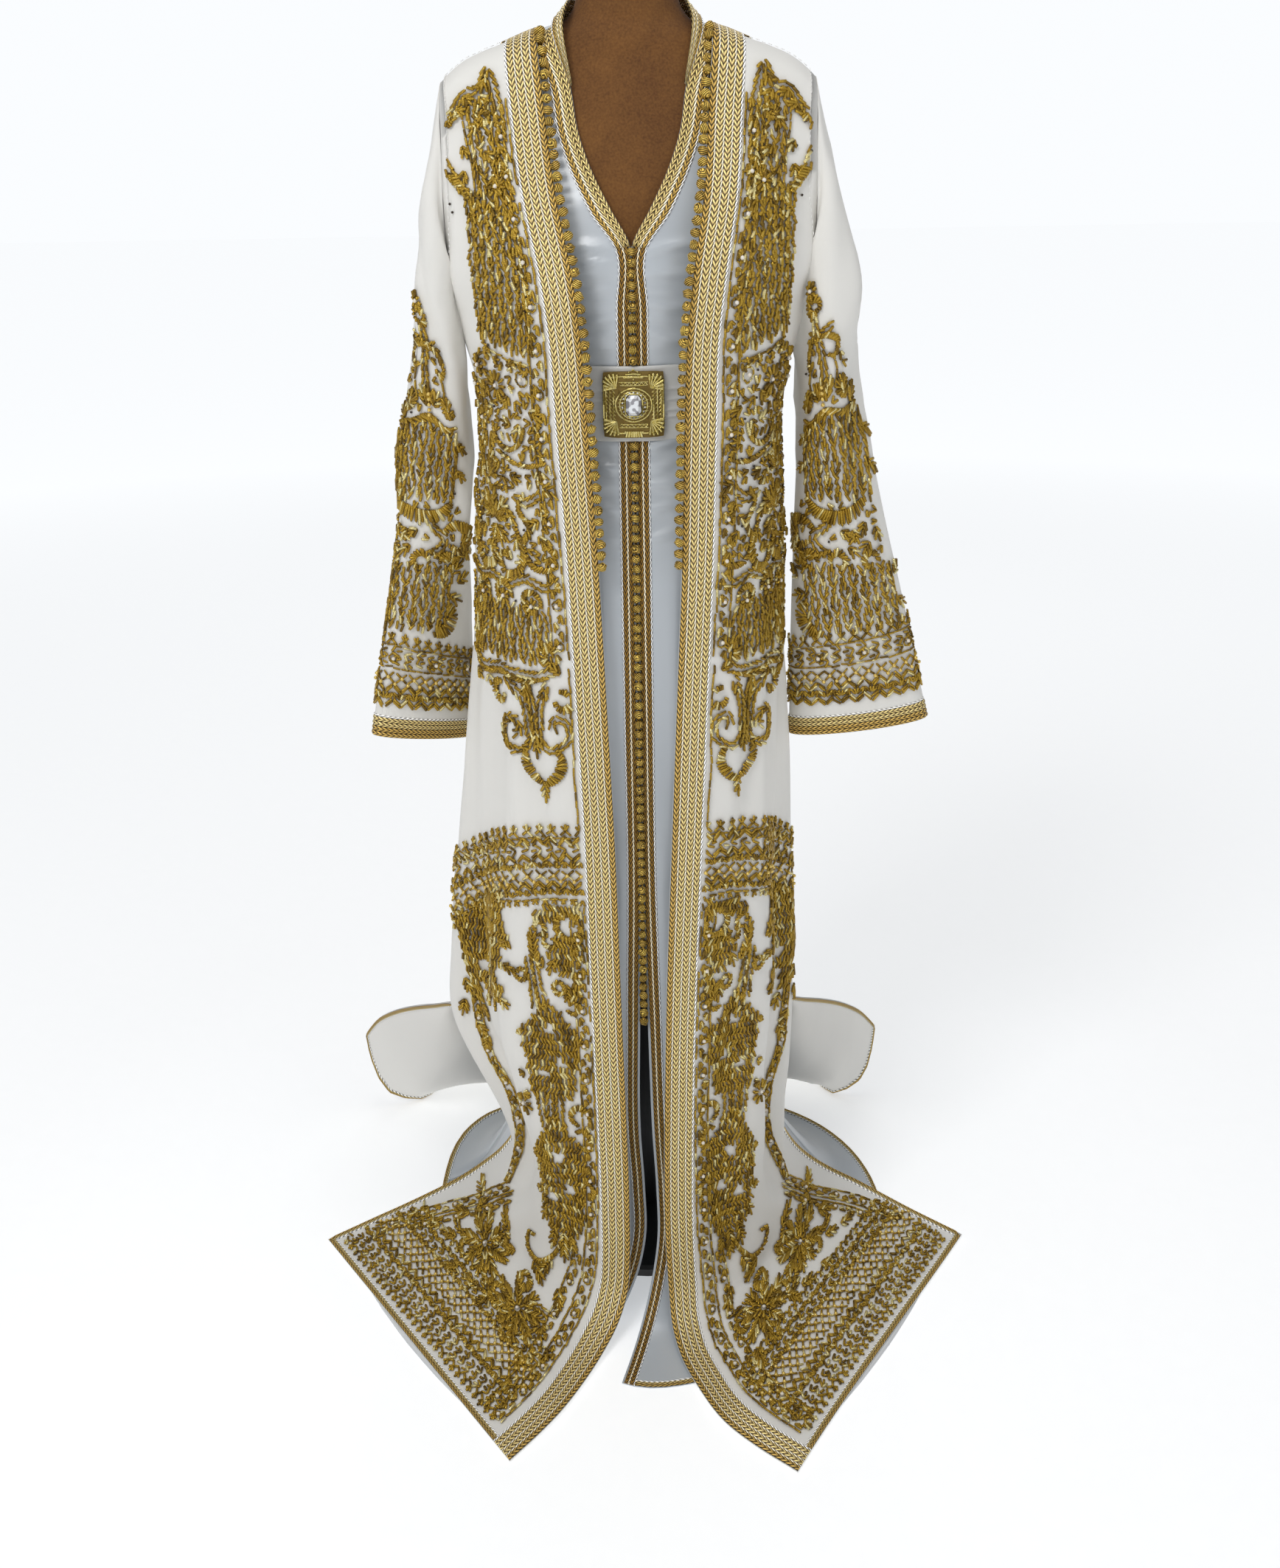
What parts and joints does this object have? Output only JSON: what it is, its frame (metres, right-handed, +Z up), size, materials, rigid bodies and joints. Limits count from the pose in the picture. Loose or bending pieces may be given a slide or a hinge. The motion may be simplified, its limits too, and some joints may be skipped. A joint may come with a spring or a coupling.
{
  "type": "takchita and dress form",
  "caption": "Two-layer floor-length ceremonial dress: buttoned satin dress, belt with clasp, and an open embroidered robe with a train, on a limbless dress form.",
  "frame": {"origin": "centre of the stand's round foot on its underside, on the floor", "axes": "+Z up, -Y the way the garment faces, +X towards the wearer's left"},
  "size_m": [0.8584, 1.0953, 1.545],
  "materials": {
    "white_satin": "silvery white satin with a soft sheen",
    "ivory_crepe": "matt ivory crepe",
    "gold_braid": "metallic gold thread, braided and embroidered",
    "belt_leather": "soft warm white leather with fine pleats",
    "buckle_brass": "polished greenish gold relief",
    "crystal": "clear step-cut stone",
    "form_suede": "dark brown flock",
    "stand_paint": "black satin paint"
  },
  "bodies": {
    "root": {"belt": "belt_leather", "buckle": "buckle_brass", "buckle_stone": "crystal", "form_foot": "stand_paint", "form_pole": "stand_paint", "form_torso": "form_suede", "inner_back": "white_satin", "inner_buttons_lower": "gold_braid", "inner_buttons_upper": "gold_braid", "inner_collar": "gold_braid", "inner_front_left": "white_satin", "inner_front_right": "white_satin", "inner_hem_back": "gold_braid", "inner_hem_left": "gold_braid", "inner_hem_right": "gold_braid", "inner_neck_braid_left": "gold_braid", "inner_neck_braid_right": "gold_braid", "inner_placket_left": "gold_braid", "inner_placket_right": "gold_braid", "outer_back": "ivory_crepe", "outer_braid_left": "gold_braid", "outer_braid_right": "gold_braid", "outer_buttons_left": "gold_braid", "outer_buttons_right": "gold_braid", "outer_cuff_left": "gold_braid", "outer_cuff_right": "gold_braid", "outer_front_left": "ivory_crepe", "outer_front_right": "ivory_crepe", "outer_hem_back": "gold_braid", "outer_hem_left": "gold_braid", "outer_hem_right": "gold_braid", "outer_lining_left": "white_satin", "outer_lining_right": "white_satin", "outer_neck_band": "gold_braid", "outer_sleeve_left": "ivory_crepe", "outer_sleeve_right": "ivory_crepe"}
  },
  "joints": []
}
